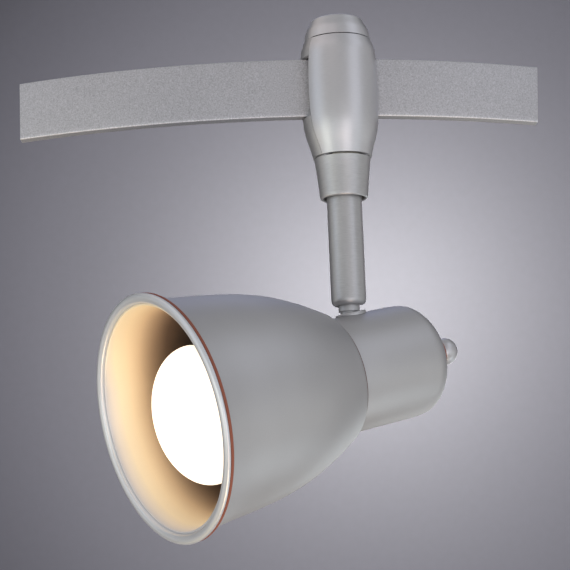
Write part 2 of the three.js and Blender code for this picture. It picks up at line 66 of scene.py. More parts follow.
# On the rail's middle line, at the adapter.
ON_RAIL = ADAPTER @ Matrix.Translation((0, -SET_BACK, 0))
STEM = ADAPTER @ Matrix.Rotation(PAN_REST, 4, "Z")
# At the knuckle's centre: the head as it is tilted, and the neck, which stays upright.
HEAD = STEM @ Matrix.Translation((0, 0, PIVOT_Z)) @ Matrix.Rotation(-TILT_REST, 4, "Y")
NECK = HEAD @ Matrix.Rotation(TILT_REST, 4, "Y")
# In the middle of the bell's rim, with +Z along the head's axis towards its back.
AXIAL = HEAD @ Matrix.Translation((-HEAD_REACH, 0, -HEAD_DROP)) @ Matrix.Rotation(math.pi / 2, 4, "Y")
LAMP = AXIAL @ Matrix.Translation((LAMP_DROP, 0, 0))

UPWARDS = (0, 0, 1)
BACKWARDS = (0, 1, 0)


# ---------------------------------------------------------------- outlines
def smooth_line(points, steps):
    """Points along a centripetal Catmull-Rom curve through the given ones."""
    p = [Vector(q) for q in points]
    p = [2 * p[0] - p[1], *p, 2 * p[-1] - p[-2]]
    out = []
    for i in range(1, len(p) - 2):
        a, b, c, d = p[i - 1 : i + 3]
        t0 = 0.0
        t1 = t0 + math.sqrt((b - a).length)
        t2 = t1 + math.sqrt((c - b).length)
        t3 = t2 + math.sqrt((d - c).length)
        for k in range(steps):
            t = t1 + (t2 - t1) * k / steps
            ab = a.lerp(b, (t - t0) / (t1 - t0))
            bc = b.lerp(c, (t - t1) / (t2 - t1))
            cd = c.lerp(d, (t - t2) / (t3 - t2))
            abc = ab.lerp(bc, (t - t0) / (t2 - t0))
            bcd = bc.lerp(cd, (t - t1) / (t3 - t1))
            out.append(tuple(abc.lerp(bcd, (t - t1) / (t2 - t1))))
    out.append(tuple(p[-2]))
    return out


def arc(centre, radii, start, end, steps):
    """Points on an elliptical arc, with angles in degrees."""
    return [
        (
            centre[0] + radii[0] * math.cos(math.radians(start + (end - start) * k / steps)),
            centre[1] + radii[1] * math.sin(math.radians(start + (end - start) * k / steps)),
        )
        for k in range(steps + 1)
    ]


def rounded(corners, steps=5):
    """A closed outline from corners (a, b) or (a, b, radius), with each radius turned into an arc."""
    out = []
    count = len(corners)
    for i, corner in enumerate(corners):
        here = Vector(corner[:2])
        if len(corner) == 2:
            out.append(tuple(here))
            continue
        before = (Vector(corners[i - 1][:2]) - here).normalized()
        after = (Vector(corners[(i + 1) % count][:2]) - here).normalized()
        half = before.angle(after) / 2
        reach = corner[2] / math.tan(half)
        middle = (before + after).normalized() * (corner[2] / math.sin(half))
        for k in range(steps + 1):
            mix = k / steps
            edge = before.lerp(after, mix) * reach - middle
            out.append(tuple(here + middle + edge.normalized() * corner[2]))
    return out


def narrowed(line, sheet):
    return [(r - sheet, z) for r, z in line]


# ---------------------------------------------------------------- meshes
ON_AXIS = 1e-4
WELD = 0.004 * MM


def new_object(name, bm, matrix=ROW):
    bmesh.ops.recalc_face_normals(bm, faces=bm.faces)
    bm.transform(Matrix.Scale(MM, 4) @ matrix)
    mesh = bpy.data.meshes.new(name)
    bm.to_mesh(mesh)
    bm.free()
    obj = bpy.data.objects.new(name, mesh)
    bpy.context.scene.collection.objects.link(obj)
    return obj


def lathe(name, outline, matrix, sides=128, twist=None):
    """A closed outline [(radius, height)] turned about +Z.

    twist(angle, radius, height), if given, returns the radius to use there."""
    bm = bmesh.new()
    rings = []
    for r, z in outline:
        if r < ON_AXIS:
            rings.append([bm.verts.new((0, 0, z))])
            continue
        ring = []
        for k in range(sides):
            a = 2 * math.pi * k / sides
            radius = twist(a, r, z) if twist else r
            ring.append(bm.verts.new((radius * math.cos(a), radius * math.sin(a), z)))
        rings.append(ring)
    for i, one in enumerate(rings):
        two = rings[(i + 1) % len(rings)]
        if len(one) == 1 and len(two) == 1:
            continue
        for k in range(sides):
            n = (k + 1) % sides
            corners = [one[k % len(one)], one[n % len(one)], two[n % len(two)], two[k % len(two)]]
            bm.faces.new(list(dict.fromkeys(corners)))
    return new_object(name, bm, matrix)


def box_object(name, low, high, matrix):
    bm = bmesh.new()
    size = Vector(high) - Vector(low)
    bmesh.ops.create_cube(bm, size=1.0)
    bm.transform(Matrix.Translation((Vector(low) + Vector(high)) / 2) @ Matrix.Diagonal((*size, 1)))
    return new_object(name, bm, matrix)


def along(direction, start):
    """A matrix that takes +Z onto a direction and the origin to a point."""
    return Matrix.Translation(start) @ Vector(direction).to_track_quat("Z", "X").to_matrix().to_4x4()


def bar(name, radius, start, direction, length, matrix, sides=48):
    outline = [(0, 0), (radius, 0), (radius, length), (0, length)]
    return lathe(name, outline, matrix @ along(direction, start), sides)


def swept(name, section, steps=180, half_angle=None, matrix=ROW):
    """A section (distance in front of the rail's middle, height) swept along the rail's curve.

    It runs between the rail's two straight cuts, or over a half angle to each side of the middle."""
    bm = bmesh.new()
    tracks = []
    for u, z in section:
        radius = RAIL_RADIUS + u
        end = half_angle or math.asin((RAIL_RIGHT + (z - RAIL_MIDDLE) * RIGHT_LEAN) / radius)
        start = -half_angle if half_angle else math.asin(RAIL_LEFT / radius)
        tracks.append((radius, z, start, end))
    rows = []
    for k in range(steps + 1):
        angles = [start + (end - start) * k / steps for _, _, start, end in tracks]
        rows.append([
            bm.verts.new((radius * math.sin(a), RAIL_RADIUS - radius * math.cos(a), z))
            for (radius, z, _, _), a in zip(tracks, angles)
        ])
    count = len(section)
    for one, two in zip(rows, rows[1:]):
        for i in range(count):
            n = (i + 1) % count
            bm.faces.new((one[i], one[n], two[n], two[i]))
    bm.faces.new(rows[0])
    bm.faces.new(rows[-1])
    return new_object(name, bm, matrix)


def combine(obj, tools, operation):
    """Cuts or joins a piece with tools, which are used up, and welds the slivers that are left."""
    for tool in tools:
        modifier = obj.modifiers.new("cut", "BOOLEAN")
        modifier.object = tool
        modifier.operation = operation
        modifier.solver = "EXACT"
    depsgraph = bpy.context.evaluated_depsgraph_get()
    result = bpy.data.meshes.new_from_object(obj.evaluated_get(depsgraph))
    obj.modifiers.clear()
    old = obj.data
    obj.data = result
    bpy.data.meshes.remove(old)
    for tool in tools:
        bpy.data.objects.remove(tool)
    bm = bmesh.new()
    bm.from_mesh(obj.data)
    bmesh.ops.remove_doubles(bm, verts=bm.verts, dist=WELD)
    bmesh.ops.dissolve_degenerate(bm, edges=bm.edges, dist=WELD)
    bm.to_mesh(obj.data)
    bm.free()
    return obj


def cut(obj, *tools):
    return combine(obj, tools, "DIFFERENCE")


def join(obj, *tools):
    return combine(obj, tools, "UNION")


def finished(obj, body, material, slot, *nodes, sharp=32, bevel=None):
    """Smooth shading, the finish, and the body and nodes that a piece stands for."""
    obj.data.polygons.foreach_set("use_smooth", [True] * len(obj.data.polygons))
    obj.data.set_sharp_from_angle(angle=math.radians(sharp))
    if bevel:
        modifier = obj.modifiers.new("edge", "BEVEL")
        modifier.width = bevel * MM
        modifier.segments = 3
        modifier.limit_method = "ANGLE"
        modifier.angle_limit = math.radians(sharp)
        modifier.harden_normals = True
        modifier.use_clamp_overlap = True
    obj.data.materials.clear()
    obj.data.materials.append(material)
    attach(obj, body)
    if nodes:
        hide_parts(*nodes)
    return obj


# ---------------------------------------------------------------- materials
def grey(value):
    return (value,) * 3


def shaded(color, factor):
    return tuple(min(1.0, c * factor) for c in color)


class Graph:
    """A short way to write a material's nodes."""

    def __init__(self, name):
        self.material = bpy.data.materials.new(name)
        self.material.use_nodes = True
        self.nodes = self.material.node_tree.nodes
        self.link = self.material.node_tree.links.new
        self.shader = self.nodes["Principled BSDF"]
        self.place = self.nodes.new("ShaderNodeTexCoord").outputs["Object"]

    def feed(self, socket, output):
        self.link(output, self.shader.inputs[socket])

    def noise(self, scale, detail=2.0, roughness=0.5, vector=None):
        node = self.nodes.new("ShaderNodeTexNoise")
        node.inputs["Scale"].default_value = scale
        node.inputs["Detail"].default_value = detail
        node.inputs["Roughness"].default_value = roughness
        self.link(vector or self.place, node.inputs["Vector"])
        return node.outputs["Fac"]

    def stretched(self, scale):
        node = self.nodes.new("ShaderNodeMapping")
        node.inputs["Scale"].default_value = scale
        self.link(self.place, node.inputs["Vector"])
        return node.outputs["Vector"]

    def measured(self, operation, vector):
        """The place's DISTANCE from a point, or its DOT_PRODUCT with a direction, in metres."""
        node = self.nodes.new("ShaderNodeVectorMath")
        node.operation = operation
        node.inputs[1].default_value = vector
        self.link(self.place, node.inputs[0])
        return node.outputs["Value"]

    def add(self, one, two):
        node = self.nodes.new("ShaderNodeMath")
        node.operation = "ADD"
        self.link(one, node.inputs[0])
        self.link(two, node.inputs[1])
        return node.outputs["Value"]

    def ramp(self, factor, stops):
        node = self.nodes.new("ShaderNodeValToRGB")
        elements = node.color_ramp.elements
        while len(elements) < len(stops):
            elements.new(0.5)
        for element, (position, color) in zip(elements, stops):
            element.position = position
            element.color = (*color, 1)
        self.link(factor, node.inputs["Fac"])
        return node.outputs["Color"]

    def span(self, factor, low, high, start=0.3, end=0.7):
        """A value that goes from low to high as the factor goes from start to end."""
        node = self.nodes.new("ShaderNodeMapRange")
        node.inputs["From Min"].default_value = start
        node.inputs["From Max"].default_value = end
        node.inputs["To Min"].default_value = low
        node.inputs["To Max"].default_value = high
        self.link(factor, node.inputs["Value"])
        return node.outputs["Result"]

    def blend(self, one, two, share, mode="MIX"):
        """Two colours in one. The second one's share is a number or a node's output."""
        node = self.nodes.new("ShaderNodeMix")
        node.data_type = "RGBA"
        node.blend_type = mode
        if isinstance(share, float):
            node.inputs["Factor"].default_value = share
        else:
            self.link(share, node.inputs["Factor"])
        self.link(one, node.inputs["A"])
        self.link(two, node.inputs["B"])
        return node.outputs["Result"]

    def multiply(self, one, two):
        return self.blend(one, two, 1.0, "MULTIPLY")

    def bump(self, height, strength, distance_mm):
        node = self.nodes.new("ShaderNodeBump")
        node.inputs["Strength"].default_value = strength
        node.inputs["Distance"].default_value = distance_mm * MM
        self.link(height, node.inputs["Height"])
        self.feed("Normal", node.outputs["Normal"])


PAINTED_EDGE_HEIGHT = 1.6


def painted_edge_light(g):
    """Painted highlight along the rail's bottom corner, lightening the face towards it, and painted shade
    making its underside duller.
    """
    low = g.span(
        g.measured("DOT_PRODUCT", UPWARDS), 1.0, 0.0, -RAIL_HEIGHT * MM, (PAINTED_EDGE_HEIGHT - RAIL_HEIGHT) * MM,
    )
    return g.ramp(low, [
        (0.0, grey(1.0)), (0.5, grey(1.07)), (0.72, grey(1.18)), (0.80, grey(1.55)), (0.985, grey(1.55)),
        (0.998, grey(0.80)),
    ])


def grained(name, color, grain_mm, roughness, metallic, contrast, bump, edge=False, turned=False):
    """A grained surface: a fine grain in colour, roughness and bump, and faint clouds of colour.

    A turned surface has its grain drawn out round the upright axis."""
    g = Graph(name)
    fine = g.noise(1 / (grain_mm * MM), 3.0, 0.65, g.stretched((0.12, 0.12, 1.0)) if turned else None)
    tone = g.ramp(fine, [(0.3, shaded(color, 1 - contrast)), (0.7, shaded(color, 1 + contrast))])
    surface = g.multiply(tone, g.ramp(g.noise(45.0), [(0.3, grey(0.97)), (0.7, grey(1.0))]))
    # With edge, the colour gets a painted highlight on the rail's bottom corner and painted shade on its
    # underside.
    g.feed("Base Color", g.multiply(surface, painted_edge_light(g)) if edge else surface)
    g.feed("Roughness", g.span(fine, roughness - 0.05, roughness + 0.05))
    g.shader.inputs["Metallic"].default_value = metallic
    g.bump(fine, bump, grain_mm * 0.12)
    return g.material


def moulded(name, color, roughness, bump=0.25):
    """Moulded plastic, and what looks like it: faint flow clouds and a fine sparked texture."""
    g = Graph(name)
    clouds = g.noise(120.0, 3.0)
    g.feed("Base Color", g.ramp(clouds, [(0.25, shaded(color, 0.93)), (0.75, shaded(color, 1.05))]))
    g.feed("Roughness", g.span(clouds, roughness - 0.06, roughness + 0.06))
    g.bump(g.noise(3500.0), bump, 0.02)
    return g.material


def drawn_metal(name, color, roughness, stretch):
    """Turned or drawn metal: fine lines from a stretched noise, with faint tarnish."""
    g = Graph(name)
    lines = g.noise(1.0, 3.0, 0.6, g.stretched(stretch))
    tarnish = g.noise(260.0, 3.0)
    g.feed("Base Color", g.ramp(tarnish, [(0.25, shaded(color, 0.82)), (0.6, color)]))
    g.feed("Roughness", g.span(g.blend(lines, tarnish, 0.35), roughness - 0.07, roughness + 0.09))
    g.shader.inputs["Metallic"].default_value = 1.0
    g.bump(lines, 0.3, 0.02)
    return g.material


def lamp_shaded_reflector():
    """The bell's lining, with the lamp's light and shade painted into its colour: grey at the rim, cream
    where painted lamp light falls, painted shade going brown towards the neck.

    The painted shade comes sooner on its high side."""
    g = Graph("reflector")
    inwards = AXIAL.to_3x3() @ Vector((0, 0, 1))
    rim = AXIAL.translation.dot(inwards) * MM
    depth = g.span(g.measured("DOT_PRODUCT", inwards), 0.0, 1.0, rim, rim + 60 * MM)
    highwards = AXIAL.to_3x3() @ Vector((-1, 0, 0))
    middle = AXIAL.translation.dot(highwards) * MM
    high_side_shade = g.span(
        g.measured("DOT_PRODUCT", highwards), 0.0, 0.085, middle + 12 * MM, middle + 36 * MM,
    )
    # Painted lamp light and painted shade, by depth into the bell and by height across it.
    tone = g.ramp(g.add(depth, high_side_shade), [
        (0.012, (0.62, 0.62, 0.65)), (0.045, (0.78, 0.73, 0.66)), (0.10, (0.90, 0.79, 0.58)),
        (0.167, (0.88, 0.73, 0.50)), (0.25, (0.76, 0.58, 0.38)), (0.33, (0.52, 0.37, 0.245)),
        (0.43, (0.26, 0.175, 0.12)), (0.57, (0.13, 0.095, 0.075)), (0.85, (0.10, 0.07, 0.06)),
    ])
    fine = g.noise(1 / (0.3 * MM), 3.0, 0.6)
    g.feed("Base Color", g.multiply(tone, g.ramp(fine, [(0.3, grey(0.96)), (0.7, grey(1.0))])))
    g.feed("Roughness", g.span(fine, 0.40, 0.50))
    g.shader.inputs["Metallic"].default_value = 0.25
    g.bump(fine, 0.15, 0.03)
    return g.material


def silvered_glass():
    """The lamp's mirrored back: soft, slightly hazy metal."""
    g = Graph("silvered_glass")
    haze = g.noise(90.0, 3.0)
    g.feed("Base Color", g.ramp(haze, [(0.3, (0.62, 0.60, 0.57)), (0.7, (0.70, 0.68, 0.65))]))
    g.feed("Roughness", g.span(haze, 0.16, 0.28))
    g.shader.inputs["Metallic"].default_value = 0.9
    g.bump(haze, 0.1, 0.05)
    return g.material


def lit_glass():
    """Frosted glass of the lit lamp."""
    g = Graph("lit_frosted_glass")
    frost = g.noise(1500.0, 3.0)
    g.feed("Base Color", g.ramp(frost, [(0.3, (0.90, 0.86, 0.78)), (0.7, (0.97, 0.94, 0.88))]))
    g.feed("Roughness", g.span(frost, 0.30, 0.42))
    g.shader.inputs["Emission Color"].default_value = (1.0, 0.82, 0.64, 1)
    g.shader.inputs["Emission Strength"].default_value = 1.3
    g.bump(frost, 0.1, 0.02)
    return g.material


satin_silver = grained(
    "satin_silver", (0.505, 0.505, 0.52), grain_mm=0.22, roughness=0.47, metallic=0.75, contrast=0.05,
    bump=0.25,
)
# A copy of the satin silver made a little darker as painted shade, with its grain drawn round the axis.
painted_shade_tube_silver = grained(
    "painted_shade_tube_silver", (0.495, 0.495, 0.507), grain_mm=0.3, roughness=0.40, metallic=0.78, contrast=0.08,
    bump=0.35, turned=True,
)
# A copy of the satin silver with its colour made lighter as painted light, for the front shell, cap and
# finial.
painted_light_silver = grained(
    "painted_light_silver", (0.585, 0.585, 0.61), grain_mm=0.25, roughness=0.38, metallic=0.78, contrast=0.035,
    bump=0.2, turned=True,
)
# A copy of the satin silver for the rim bead, made much lighter and bluer as painted light.
painted_light_bead_silver = grained(
    "painted_light_bead_silver", (0.71, 0.73, 0.77), grain_mm=0.2, roughness=0.42, metallic=0.75, contrast=0.03,
    bump=0.12,
)
# The rail's edge colour holds a painted highlight on its bottom corner and painted shade underneath.
sandblasted = grained(
    "sandblasted_aluminium", (0.463, 0.465, 0.497), grain_mm=0.5, roughness=0.55, metallic=0.60,
    contrast=0.26, bump=0.8, edge=True,
)
steel = drawn_metal("zinc_plated_steel", (0.60, 0.60, 0.61), 0.30, (900, 900, 4000))
brass = drawn_metal("brass", (0.78, 0.60, 0.30), 0.26, (900, 900, 4500))
copper = drawn_metal("drawn_copper", (0.80, 0.46, 0.30), 0.32, (300, 300, 6000))
white_plastic = moulded("white_plastic", (0.80, 0.79, 0.74), 0.45)
nylon = moulded("natural_nylon", (0.74, 0.71, 0.60), 0.42)
red_fibre = moulded("red_fibre", (0.26, 0.075, 0.042), 0.62, 0.5)
# A darker copy of the red fibre: painted shade for the gasket down in the seam.
seam_shade_fibre = moulded("seam_shaded_red_fibre", (0.10, 0.035, 0.025), 0.65, 0.5)
brown_wire = moulded("brown_sleeve", (0.22, 0.11, 0.05), 0.5)
blue_wire = moulded("blue_sleeve", (0.08, 0.20, 0.50), 0.5)
black_glass = moulded("black_glass", (0.02, 0.02, 0.024), 0.12, 0.1)
reflector = lamp_shaded_reflector()
lamp_glass = lit_glass()
lamp_mirror = silvered_glass()

# ---------------------------------------------------------------- rail
CHANNEL_TOP = -4.1
CHANNEL_BOTTOM = -18.1
CHANNEL_FLOOR = 0.7
STRIPS = {"upper": 3.5, "lower": -3.5}


def at_middle(section):
    """A section drawn about the rail's middle height, put in its place."""
    return [(u, z + RAIL_MIDDLE) for u, z in section]


def rail_section():
    return rounded([
        (-RAIL_HALF, -RAIL_HEIGHT, 0.25), (RAIL_HALF, -RAIL_HEIGHT, 0.45),
        (RAIL_HALF, 0, 0.45), (-RAIL_HALF, 0, 0.25),
        (-RAIL_HALF, CHANNEL_TOP, 0.2), (CHANNEL_FLOOR, CHANNEL_TOP, 0.2),
        (CHANNEL_FLOOR, CHANNEL_BOTTOM, 0.2), (-RAIL_HALF, CHANNEL_BOTTOM, 0.2),
    ])


def insulator_section():
    corners = [(-2.4, -6.7, 0.2), (0.4, -6.7, 0.25), (0.4, 6.7, 0.25), (-2.4, 6.7, 0.2)]
    for centre in STRIPS.values():
        corners += [
            (-2.4, centre + 1.6, 0.15), (-0.5, centre + 1.6, 0.15),
            (-0.5, centre - 1.6, 0.15), (-2.4, centre - 1.6, 0.15),
        ]
    return at_middle(rounded(corners, 3))


def strip_section(centre):
    return at_middle(rounded([
        (-1.6, centre - 1.2, 0.25), (-0.8, centre - 1.2, 0.1),
        (-0.8, centre + 1.2, 0.1), (-1.6, centre + 1.2, 0.25),
    ], 3))


rail = swept("rail_profile", rail_section())
finished(rail, "rail", sandblasted, "rail_aluminium", "rail_band", sharp=40, bevel=0.2)
rail_liner = swept("rail_liner", insulator_section())
finished(rail_liner, "rail", white_plastic, "white_plastic", "rail_insulator", sharp=40)
for name, centre in STRIPS.items():
    strip = swept(f"rail_strip_{name}", strip_section(centre))
    finished(strip, "rail", copper, "copper", f"rail_conductor_{name}", sharp=40)

# ---------------------------------------------------------------- adapter
SHELL_BOTTOM = -27.1
SHELL_GROOVE = 0.45
COLLAR_BOTTOM = -42.4
CAP_SEAM = 18.4
CAP_TOP = 26.75
SPLIT_Y = -5.65
SPLIT = ADAPTER @ Matrix.Rotation(math.radians(7.6), 4, "Z")
BODY_WALL = 1.7
SHELL_WALL = 1.5
ROOF = 16.5
FLOOR = -24.4
SCREW_HEIGHTS = {"upper": 13.6, "lower": -13.9}
BARREL_LINE = smooth_line([
    (10.85, SHELL_BOTTOM), (11.8, -23.1), (13.2, -18.4), (14.1, -13.5), (14.6, -4), (14.3, 9.75),
    (13.9, 14.6), (12.7, CAP_SEAM),
], 7)
COLLAR_LINE = [
    (7.95, COLLAR_BOTTOM + 0.4),
    *arc((8.3, COLLAR_BOTTOM + 0.65), (0.6, 0.6), 225, 360, 8)[1:],
    *smooth_line([(9.0, -41.2), (9.2, -39.1), (9.65, -34.5), (10.15, -30.2), (10.5, -27.75)], 4),
]


def inside_barrel(wall, low, high):
    line = [(r - wall, z) for r, z in BARREL_LINE if low < z < high]
    outline = [(0, low), (line[0][0], low), *line, (line[-1][0], high), (0, high)]
    return lathe("hollow", outline, ADAPTER, 96)


def rail_slot():
    """The room for the rail, open at the front where the front shell goes."""
    section = [(-3.2, -11.9), (12, -11.9), (12, 11.3), (-3.2, 11.3)]
    return swept("slot", section, 24, math.radians(7), ON_RAIL)


def screw_bars(radius, y, length):
    """A round bar at each case screw, from y backwards."""
    return [bar("screw_bar", radius, (0, y, z), BACKWARDS, length, ADAPTER) for z in SCREW_HEIGHTS.values()]


def adapter_body():
    outline = [
        (0, COLLAR_BOTTOM + 0.4), *COLLAR_LINE, (10.6, SHELL_BOTTOM - 0.1), (9.9, SHELL_BOTTOM),
        (9.9, SHELL_BOTTOM + SHELL_GROOVE), *[(r, z) for r, z in BARREL_LINE if z > SHELL_BOTTOM + 0.5],
        (0, CAP_SEAM),
    ]
    bore_outline = [
        (0, COLLAR_BOTTOM - 1), (7.9, COLLAR_BOTTOM - 1), (7.9, -39.2), (8.1, -39.2), (8.1, FLOOR + 2),
        (0, FLOOR + 2),
    ]
    body = cut(
        lathe("adapter_case", outline, ADAPTER, 144),
        inside_barrel(BODY_WALL, FLOOR, ROOF),
        lathe("bore", bore_outline, ADAPTER, 96),
        box_object("front", (-25, SPLIT_Y - 20, SHELL_BOTTOM - 0.2), (25, SPLIT_Y, 40), SPLIT),
        rail_slot(),
    )
    body = join(body, *screw_bars(3.3, 9.4, 3.2))
    stud_bore = bar("stud_bore", 2.8, (0, 0, ROOF - 1), UPWARDS, 3, ADAPTER)
    return cut(body, *screw_bars(1.5, 5, 20), *screw_bars(2.8, 11.6, 6), stud_bore)


def front_shell():
    low = SHELL_BOTTOM + SHELL_GROOVE
    outline = [(0, low), *[(r, max(z, low)) for r, z in BARREL_LINE if z > low - 0.3], (0, CAP_SEAM)]
    shell = cut(
        lathe("front_cover", outline, ADAPTER, 144),
        inside_barrel(SHELL_WALL, SHELL_BOTTOM - 2, ROOF + 0.5),
        box_object("above", (-20, -20, CAP_SEAM - 0.3), (20, 20, 40), ADAPTER),
    )
    shell = join(shell, *screw_bars(2.5, -12.4, 10))
    behind = box_object("behind", (-25, SPLIT_Y - 0.15, -60), (25, 30, 40), SPLIT)
    return cut(shell, *screw_bars(1.5, -10.4, 12), behind)


def clamp_pad():
    """The block in the front shell that presses on the rail, curved as the rail is."""
    section = rounded([(2.8, -9.5, 0.4), (6.0, -9.5, 0.8), (6.0, 9.5, 0.8), (2.8, 9.5, 0.4)])
    return swept("rail_pad", section, 24, math.radians(2.2), ON_RAIL)


def pan_screw(name, place, shank_r=1.2, head_r=2.4, shank=21.7, head=1.2, pitch=0.5):
    """A pan-head screw with a turned thread and a cross recess."""
    rows = int(2 * (shank - 0.9) / pitch)
    thread = [(shank_r - (0.16 if k % 2 else 0), 0.3 + k * pitch / 2) for k in range(rows)]
    side = head * 0.35
    outline = [
        (0, 0), (shank_r - 0.3, 0), *thread, (shank_r, shank - 0.2), (shank_r, shank), (head_r, shank),
        *arc((0, shank + side), (head_r, head - side), 0, 90, 8),
    ]
    reach, width = head_r * 0.62, head_r * 0.13
    low, high = shank + side, shank + head + 0.2
    return cut(
        lathe(name, outline, place, 40),
        box_object("recess", (-reach, -width, low), (reach, width, high), place),
        box_object("recess", (-width, -reach, low), (width, reach, high), place),
    )


finished(adapter_body(), "adapter", painted_shade_tube_silver, "satin_silver", "adapter_body", bevel=0.14)
finished(front_shell(), "adapter", painted_light_silver, "satin_silver", "front_shell", bevel=0.14)
finished(clamp_pad(), "adapter", nylon, "nylon", "clamp_pad", sharp=40, bevel=0.3)
for name, z in SCREW_HEIGHTS.items():
    screw = pan_screw(f"case_screw_{name}", ADAPTER @ along(BACKWARDS, (0, -9.8, z)))
    finished(screw, "adapter", steel, "steel", f"shell_screw_{name}")

cap_outline = [
    (10.8, 18.7), (12.2, 18.7), (12.3, 18.53), (12.5, 18.53),
    *smooth_line([(12.56, 18.6), (11.8, 22.2), (10.4, 25.2)], 8),
    *arc((8.75, 25.5), (1.42, 1.25), 14, 90, 10), (0, CAP_TOP),
    (0, 25.35), (2.8, 25.35), (2.8, 20.0), (5.4, 20.0), (5.4, 25.35), (8.3, 25.35),
]
finished(lathe("cap", cap_outline, ADAPTER, 144), "cap", painted_light_silver, "satin_silver", "top_cap")
washer = rounded([(2.8, 18.7, 0.1), (6, 18.7, 0.2), (6, 19.6, 0.2), (2.8, 19.6, 0.1)], 3)
finished(lathe("cap_spring_washer", washer, ADAPTER, 64), "washer", steel, "steel", "cap_washer")

bush = rounded([
    (6.8, -38.9, 0.2), (7.8, -38.9, 0.3), (7.8, -24.1), (9.2, -24.1, 0.2), (9.2, -23.2, 0.2),
    (6.8, -23.2, 0.3),
], 3)
finished(lathe("collar_bush", bush, ADAPTER, 96), "adapter", nylon, "nylon", "stem_bush")

# ---------------------------------------------------------------- stem
STEM_R = 6.5
STEM_BORE = 5.5
STEM_TOP = -16.9
STEM_BOTTOM = -82.8
FLANGE_R = 8.7
FLANGE_LOW = -22.9
FLANGE_HIGH = -20.9
SLOT_HALF = 4.3
SLOT_TOP = PIVOT_Z - 1.9
stem_outline = [
    (4.9, STEM_BOTTOM), *arc((4.75, STEM_BOTTOM + 2.5), (1.75, 2.5), -84, 0, 16),
    (STEM_R, FLANGE_LOW), (FLANGE_R, FLANGE_LOW), (FLANGE_R, FLANGE_HIGH), (STEM_R, FLANGE_HIGH),
    (STEM_R, STEM_TOP - 0.2), (STEM_R - 0.2, STEM_TOP), (STEM_BORE + 0.15, STEM_TOP),
    (STEM_BORE, STEM_TOP - 0.15), (STEM_BORE, -80.3), (4.8, -81.1),
]
stem = cut(
    lathe("stem", stem_outline, STEM, 128),
    box_object("slot", (1, -SLOT_HALF, STEM_BOTTOM - 1), (9, SLOT_HALF, SLOT_TOP), STEM),
    bar("slot_end", SLOT_HALF, (1, 0, SLOT_TOP), (1, 0, 0), 8, STEM, 64),
)
stop_lug = box_object("lug", (FLANGE_R - 0.5, -0.8, FLANGE_LOW + 0.2), (9.4, 0.8, FLANGE_HIGH - 0.2), STEM)
finished(join(stem, stop_lug), "stem", painted_shade_tube_silver, "satin_silver", "stem_tube", bevel=0.12)

# ---------------------------------------------------------------- knuckle
BALL_R = 5.2
BALL_TOP_DEG = 68
NECK_R = 3.95
STUD_BORE = 1.95
HOUSING_R = 21.2
neck_deg = -math.degrees(math.acos(NECK_R / BALL_R))
stud_outline = [
    (STUD_BORE, -15), (2.9, -15), (3.2, -14.7), (3.2, -6.2), (NECK_R, -6.2), (NECK_R, -5.05),
    *arc((0, 0), (BALL_R, BALL_R), neck_deg, BALL_TOP_DEG, 26),
    (STUD_BORE, BALL_R * math.sin(math.radians(BALL_TOP_DEG))),
]
finished(lathe("knuckle_ball", stud_outline, NECK, 80), "head", satin_silver, "satin_silver", "ball_stud")

saddle_outline = rounded([(0, -9.4), (5.7, -9.4, 0.1), (5.7, -6.45, 0.4), (0, -6.45)])
saddle = cut(
    lathe("saddle", saddle_outline, HEAD @ Matrix.Translation((-0.9, 0, 0)), 96),
    bar("stud_hole", 4.3, (0, 0, -14), UPWARDS, 14, NECK),
    bar("housing_room", HOUSING_R + 0.1, (-20, 0, -HEAD_DROP), (1, 0, 0), 40, HEAD, 256),
)
finished(saddle, "head", satin_silver, "satin_silver", "saddle_washer", bevel=0.1)

# ---------------------------------------------------------------- head
SHADE_BACK = 70.3
SHADE_SHEET = 1.2
SHADE_LINE = smooth_line([
    (41.4, 1.9), (39.9, 10.8), (38.45, 25), (36.7, 37.5), (33.85, 48.8), (29.6, 59.7),
    (25.1, SHADE_BACK - 1.2),
], 10)
shade_inside = list(reversed(narrowed(SHADE_LINE, SHADE_SHEET)))
shade_outline = [
    *SHADE_LINE, *arc((23.6, 69.15), (1.2, 1.15), 20, 90, 8),
    (15.35, SHADE_BACK), (15.2, SHADE_BACK - 0.15), (15.2, SHADE_BACK - SHADE_SHEET),
    (shade_inside[0][0], SHADE_BACK - SHADE_SHEET - 0.4), *shade_inside[1:],
]
finished(lathe("bell_shade", shade_outline, AXIAL, 192), "head", satin_silver, "satin_silver", "shade")

LINER_BACK = 62.0
LINER_SHEET = 0.8
LINER_GAP = 0.6
liner_outside = [(r, s) for r, s in narrowed(SHADE_LINE, SHADE_SHEET + LINER_GAP) if s < LINER_BACK - 1.2]
liner_inside = list(reversed(narrowed(liner_outside, LINER_SHEET)))
back_r = liner_outside[-1][0] - 1.4
liner_outline = [
    (39.68, 0.3), (39.62, 0.8), *liner_outside,
    *arc((back_r, LINER_BACK - 1.1), (1.3, 1.1), 15, 90, 6), (14, LINER_BACK),
    (14, LINER_BACK - LINER_SHEET), (back_r - 0.2, LINER_BACK - LINER_SHEET), *liner_inside, (38.9, 0.7),
    (39.1, 0.3),
]
liner = lathe("inner_reflector", liner_outline, AXIAL, 192)
finished(liner, "head", reflector, "reflector", "reflector_liner")

